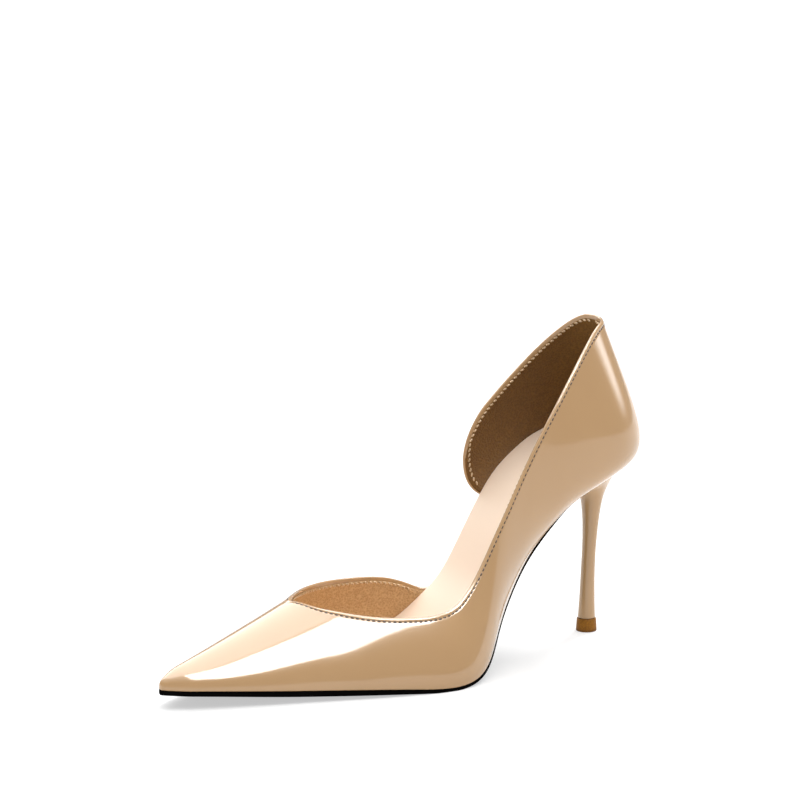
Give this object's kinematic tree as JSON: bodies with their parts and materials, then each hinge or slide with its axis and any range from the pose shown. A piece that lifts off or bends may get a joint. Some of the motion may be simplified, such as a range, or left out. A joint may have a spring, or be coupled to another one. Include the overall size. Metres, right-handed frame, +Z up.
{
  "type": "high heel shoe",
  "caption": "Left pump with a pointed toe, a cut-away inner side and a slim stiletto heel, in glossy patent leather with a thin dark sole.",
  "frame": {"origin": "on the floor, under the middle of the shoe's bounding box", "axes": "+X from the toe to the heel, +Y to the inner side of the foot, +Z up"},
  "size_m": [0.2254, 0.0801, 0.1306],
  "materials": {
    "patent_leather": "nude patent leather, high gloss",
    "heel_cover": "heel wrapped in the same patent leather, high gloss",
    "insole_leather": "pale beige sock, satin",
    "sole_leather": "black sole leather, satin",
    "lift_rubber": "brown hard rubber, matte"
  },
  "bodies": {
    "root": {"upper": "patent_leather", "heel": "heel_cover", "insole": "insole_leather", "outsole": "sole_leather", "heel_top_piece": "lift_rubber"}
  },
  "joints": []
}
